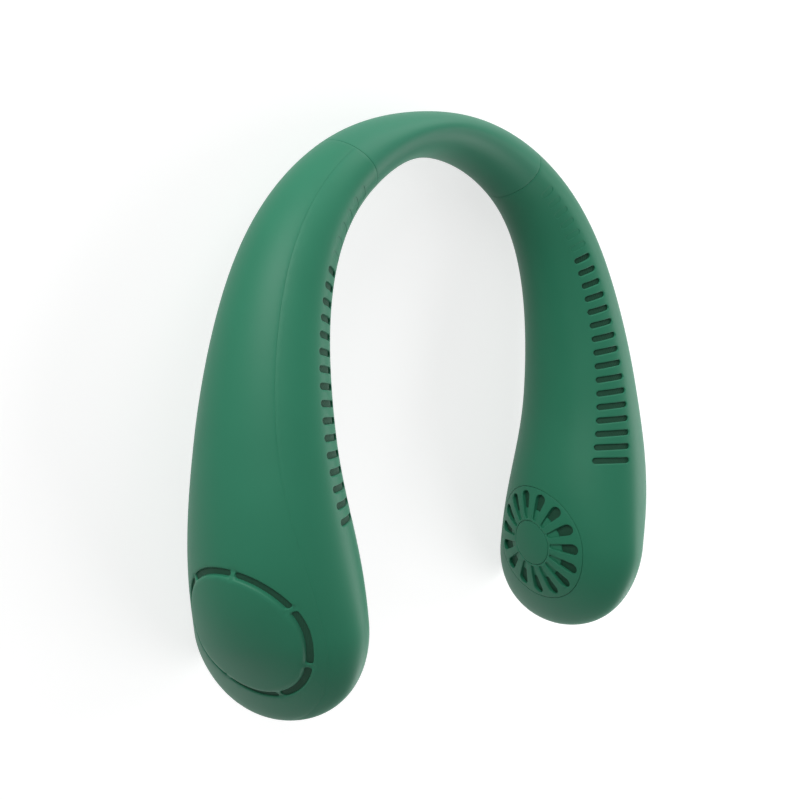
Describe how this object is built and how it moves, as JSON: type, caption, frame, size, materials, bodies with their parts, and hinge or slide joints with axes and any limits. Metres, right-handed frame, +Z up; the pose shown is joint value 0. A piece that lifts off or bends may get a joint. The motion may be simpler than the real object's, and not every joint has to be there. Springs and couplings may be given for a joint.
{
  "type": "neck fan",
  "caption": "Wearable fan that rests round the neck: hollow arms joined by a soft band at the back, each with a fan wheel behind a round grille and air slots along its crest.",
  "frame": {"origin": "middle of the bounding box's footprint, on the surface that the fan lies on", "axes": "+Z up, out of the crest with the air slots; +Y from the open end towards the soft band at the back of the neck; +X towards the wearer's left arm of the fan"},
  "size_m": [0.1898, 0.1812, 0.0611],
  "materials": {
    "shell_green": "satin moulded plastic",
    "grille_green": "satin moulded plastic",
    "wheel_green": "satin moulded plastic",
    "band_silicone": "soft matt silicone",
    "black_plastic": "matt moulded plastic",
    "cable_black": "matt cable sheath",
    "steel": "brushed",
    "magnet": "dark sintered magnet",
    "bearing_brass": "sintered bearing metal",
    "winding_copper": "enamelled copper wire",
    "board_green": "printed circuit board",
    "cell_case": "metal can in a plastic sleeve",
    "light_clear": "clear light guide"
  },
  "bodies": {
    "right_arm": {"right_outer_shell": "shell_green", "right_inner_shell": "shell_green", "right_inner_grille": "grille_green", "right_grille_cap": "grille_green", "right_neck_plug": "wheel_green", "right_air_duct": "wheel_green", "right_motor_bearing": "bearing_brass", "right_stator": "winding_copper", "right_motor_base": "board_green", "right_motor_screws": "steel", "right_battery_cell": "cell_case", "control_board": "board_green", "power_switch": "black_plastic", "charging_socket": "steel", "status_light": "light_clear", "neck_sleeve": "band_silicone", "neck_spine": "steel", "neck_cable": "cable_black"},
    "left_arm": {"left_outer_shell": "shell_green", "left_inner_shell": "shell_green", "left_inner_grille": "grille_green", "left_grille_cap": "grille_green", "left_neck_plug": "wheel_green", "left_air_duct": "wheel_green", "left_motor_bearing": "bearing_brass", "left_stator": "winding_copper", "left_motor_base": "board_green", "left_motor_screws": "steel", "left_battery_cell": "cell_case"},
    "right_rotor": {"right_fan_wheel": "wheel_green", "right_rotor_cup": "steel", "right_magnet_ring": "magnet", "right_motor_shaft": "steel"},
    "left_rotor": {"left_fan_wheel": "wheel_green", "left_rotor_cup": "steel", "left_magnet_ring": "magnet", "left_motor_shaft": "steel"},
    "button": {"power_button": "wheel_green"}
  },
  "joints": [
    {"name": "neck_flex", "type": "hinge", "parent": "right_arm", "child": "left_arm", "pos_m": [0, 0.08316, 0.01233], "axis": [0, 0, 1], "range_deg": [-6, 28], "stiffness_Nm_per_rad": 1, "deforming": ["neck_sleeve", "neck_spine", "neck_cable"]},
    {"name": "right_fan_spin", "type": "hinge", "parent": "right_arm", "child": "right_rotor", "pos_m": [-0.06937, -0.05826, 0.03032], "axis": [-0.9869, -0.087, 0.1355], "continuous": true},
    {"name": "left_fan_spin", "type": "hinge", "parent": "left_arm", "child": "left_rotor", "pos_m": [0.06937, -0.05826, 0.03032], "axis": [0.9869, -0.087, 0.1355], "continuous": true},
    {"name": "power_button", "type": "slide", "parent": "right_arm", "child": "button", "axis": [0.1218, 0.1399, 0.9826], "range_m": [0, 0.0004], "stiffness_N_per_m": 400}
  ]
}
